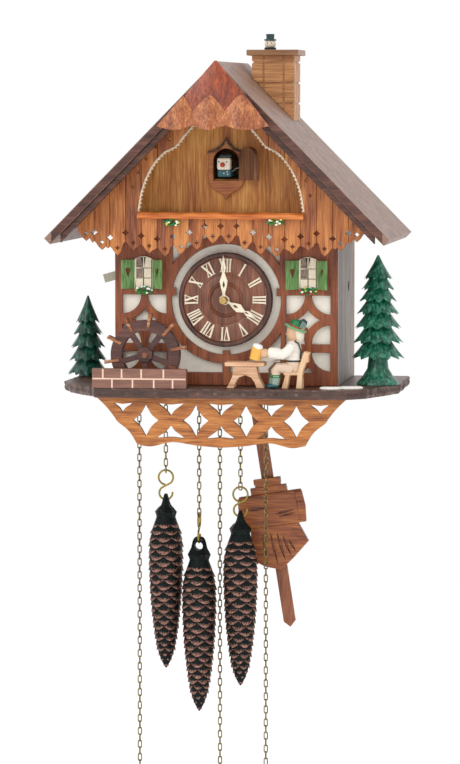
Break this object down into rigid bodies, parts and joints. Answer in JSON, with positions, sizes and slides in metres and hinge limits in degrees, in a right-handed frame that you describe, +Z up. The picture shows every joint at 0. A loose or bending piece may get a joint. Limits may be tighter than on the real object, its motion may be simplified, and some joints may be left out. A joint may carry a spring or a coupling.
{
  "type": "cuckoo clock",
  "caption": "Wall-hung wooden chalet cuckoo clock with three pine-cone weights on chains, leaf pendulum, water wheel, beer-drinker figure and fretwork apron.",
  "frame": {"origin": "centre of the hanger hole, in the plane of the back that meets the wall", "axes": "+Z up, +X to the right of someone facing the dial, +Y into the wall"},
  "size_m": [0.2649, 0.1955, 0.648],
  "materials": {
    "stained_wood": "stained lime wood, satin lacquer",
    "walnut_wood": "walnut-stained lime wood",
    "roof_wood": "walnut-stained board, satin",
    "plaster_front": "birch plywood painted as plaster, stained golden above the rail",
    "golden_wood": "golden-stained wood",
    "bare_wood": "bare wood, waxed",
    "dial_wood": "turned wood, mahogany stain",
    "cream_plastic": "moulded cream plastic",
    "green_wood": "carved wood, green stain",
    "brick_paint": "wood painted red brown",
    "figure_wood": "carved wood, painted",
    "brass": "stamped brass",
    "chain_brass": "brass-plated wire, aged",
    "cone_iron": "cast iron, dark patina with copper highlights",
    "steel": "plain steel wire and strip"
  },
  "bodies": {
    "case": {"platform": "walnut_wood", "apron": "stained_wood", "back_board": "bare_wood", "side_left": "walnut_wood", "side_right": "walnut_wood", "front_board": "plaster_front", "timber_frame": "stained_wood", "gable_boards": "stained_wood", "balcony_rail": "stained_wood", "roof_left": "roof_wood", "roof_right": "roof_wood", "roof_hood": "stained_wood", "chimney": "bare_wood", "dial": "dial_wood", "window_left": "cream_plastic", "window_right": "cream_plastic", "door_surround": "golden_wood", "fir_tree_left": "green_wood", "fir_tree_right": "green_wood", "brick_wall": "brick_paint", "beer_table": "bare_wood", "drinker": "figure_wood", "movement_frame": "brass", "bellows_left": "bare_wood", "bellows_right": "bare_wood", "gong": "steel", "music_base": "brass", "wall_hanger": "steel"},
    "minute_hand": {"minute_hand": "cream_plastic", "minute_arbor": "brass"},
    "hour_hand": {"hour_hand": "cream_plastic"},
    "pendulum": {"pendulum_rod": "stained_wood"},
    "pendulum_bob": {"pendulum_bob": "stained_wood"},
    "crutch": {"pallet_crutch": "steel"},
    "cuckoo_door": {"cuckoo_door": "golden_wood"},
    "cuckoo": {"cuckoo": "figure_wood"},
    "bellows_top_left": {"bellows_top_left": "bare_wood"},
    "bellows_top_right": {"bellows_top_right": "bare_wood"},
    "gong_hammer": {"gong_hammer": "steel"},
    "music_drum": {"music_drum": "brass"},
    "water_wheel": {"water_wheel": "brick_paint"},
    "drinker_arm": {"drinker_arm": "figure_wood"},
    "sweep": {"sweep": "figure_wood"},
    "shut_off_lever": {"shut_off_lever": "steel"},
    "back_cover": {"back_cover": "bare_wood"},
    "weight_1": {"weight_1": "cone_iron", "weight_chain_1": "chain_brass"},
    "free_chain_1": {"free_chain_1": "chain_brass", "chain_hank_1": "chain_brass"},
    "chain_wheel_1": {"chain_wheel_1": "brass"},
    "weight_2": {"weight_2": "cone_iron", "weight_chain_2": "chain_brass"},
    "free_chain_2": {"free_chain_2": "chain_brass", "chain_hank_2": "chain_brass"},
    "chain_wheel_2": {"chain_wheel_2": "brass"},
    "weight_3": {"weight_3": "cone_iron", "weight_chain_3": "chain_brass"},
    "free_chain_3": {"free_chain_3": "chain_brass", "chain_hank_3": "chain_brass"},
    "chain_wheel_3": {"chain_wheel_3": "brass"}
  },
  "joints": [
    {"name": "minute_hand_turn", "type": "hinge", "parent": "case", "child": "minute_hand", "pos_m": [0, -0.133, -0.141], "axis": [0, 1, 0], "continuous": true},
    {"name": "hour_hand_turn", "type": "hinge", "parent": "case", "child": "hour_hand", "pos_m": [0, -0.13, -0.141], "axis": [0, 1, 0], "continuous": true},
    {"name": "pendulum_swing", "type": "hinge", "parent": "case", "child": "pendulum", "pos_m": [0, -0.042, -0.147], "axis": [0, 1, 0], "range_deg": [0, 17.8]},
    {"name": "bob_slide", "type": "slide", "parent": "pendulum", "child": "pendulum_bob", "axis": [0.1547, 0, -0.988], "range_m": [-0.02, 0.02]},
    {"name": "crutch_swing", "type": "hinge", "parent": "case", "child": "crutch", "pos_m": [0, -0.0472, -0.147], "axis": [0, 1, 0], "range_deg": [0, 17.8]},
    {"name": "cuckoo_door_hinge", "type": "hinge", "parent": "case", "child": "cuckoo_door", "pos_m": [0.0108, -0.1231, -0.04], "axis": [0, 0, 1], "range_deg": [-135, 0]},
    {"name": "cuckoo_slide", "type": "slide", "parent": "case", "child": "cuckoo", "axis": [0, 1, 0], "range_m": [0, 0.022]},
    {"name": "bellows_left_lift", "type": "hinge", "parent": "case", "child": "bellows_top_left", "pos_m": [-0.063, -0.009, -0.1007], "axis": [-1, 0, 0], "range_deg": [0, 12]},
    {"name": "bellows_right_lift", "type": "hinge", "parent": "case", "child": "bellows_top_right", "pos_m": [0.061, -0.06, -0.1007], "axis": [-1, 0, 0], "range_deg": [0, 12]},
    {"name": "gong_hammer_swing", "type": "hinge", "parent": "case", "child": "gong_hammer", "pos_m": [0.06, -0.022, -0.121], "axis": [0, -1, 0], "range_deg": [0, 15]},
    {"name": "music_drum_turn", "type": "hinge", "parent": "case", "child": "music_drum", "pos_m": [-0.0615, -0.0712, -0.1195], "axis": [0, 1, 0], "continuous": true},
    {"name": "water_wheel_turn", "type": "hinge", "parent": "case", "child": "water_wheel", "pos_m": [-0.0568, -0.143, -0.181], "axis": [0, 1, 0], "continuous": true},
    {"name": "drinker_arm_lift", "type": "hinge", "parent": "case", "child": "drinker_arm", "pos_m": [0.052, -0.1526, -0.1735], "axis": [0, 1, 0], "range_deg": [0, 38]},
    {"name": "sweep_rise", "type": "slide", "parent": "case", "child": "sweep", "axis": [0, 0, 1], "range_m": [0, 0.014]},
    {"name": "shut_off_lever_turn", "type": "hinge", "parent": "case", "child": "shut_off_lever", "pos_m": [-0.064, -0.047, -0.118], "axis": [0, 1, 0], "range_deg": [0, 8]},
    {"name": "back_cover_hinge", "type": "hinge", "parent": "case", "child": "back_cover", "pos_m": [-0.0555, -0.0005, -0.12], "axis": [0, 0, 1], "range_deg": [0, 110]},
    {"name": "weight_1_drop", "type": "slide", "parent": "case", "child": "weight_1", "axis": [0, 0, -1], "range_m": [0, 0.04]},
    {"name": "free_chain_1_rise", "type": "slide", "parent": "case", "child": "free_chain_1", "axis": [0, 0, 1], "range_m": [0, 0.04]},
    {"name": "chain_wheel_1_turn", "type": "hinge", "parent": "case", "child": "chain_wheel_1", "pos_m": [-0.0647, -0.062, -0.175], "axis": [0, 1, 0], "range_deg": [0, 224.71]},
    {"name": "weight_2_drop", "type": "slide", "parent": "case", "child": "weight_2", "axis": [0, 0, -1], "range_m": [0, 0.04]},
    {"name": "free_chain_2_rise", "type": "slide", "parent": "case", "child": "free_chain_2", "axis": [0, 0, 1], "range_m": [0, 0.04]},
    {"name": "chain_wheel_2_turn", "type": "hinge", "parent": "case", "child": "chain_wheel_2", "pos_m": [-0.02005, -0.068, -0.175], "axis": [0, -1, 0], "range_deg": [0, 288.31]},
    {"name": "weight_3_drop", "type": "slide", "parent": "case", "child": "weight_3", "axis": [0, 0, -1], "range_m": [0, 0.04]},
    {"name": "free_chain_3_rise", "type": "slide", "parent": "case", "child": "free_chain_3", "axis": [0, 0, 1], "range_m": [0, 0.04]},
    {"name": "chain_wheel_3_turn", "type": "hinge", "parent": "case", "child": "chain_wheel_3", "pos_m": [0.01335, -0.068, -0.175], "axis": [0, -1, 0], "range_deg": [0, 235.08]}
  ],
  "couplings": [
    {"joint": "hour_hand_turn", "follows": "minute_hand_turn", "ratio": 0.083333},
    {"joint": "crutch_swing", "follows": "pendulum_swing", "ratio": 1},
    {"joint": "cuckoo_slide", "follows": "cuckoo_door_hinge", "m_per_rad": -0.0093371},
    {"joint": "music_drum_turn", "follows": "water_wheel_turn", "ratio": -1},
    {"joint": "free_chain_1_rise", "follows": "weight_1_drop", "ratio": 1},
    {"joint": "chain_wheel_1_turn", "follows": "weight_1_drop", "rad_per_m": 98.039},
    {"joint": "free_chain_2_rise", "follows": "weight_2_drop", "ratio": 1},
    {"joint": "chain_wheel_2_turn", "follows": "weight_2_drop", "rad_per_m": 125.79},
    {"joint": "free_chain_3_rise", "follows": "weight_3_drop", "ratio": 1},
    {"joint": "chain_wheel_3_turn", "follows": "weight_3_drop", "rad_per_m": 102.56}
  ]
}
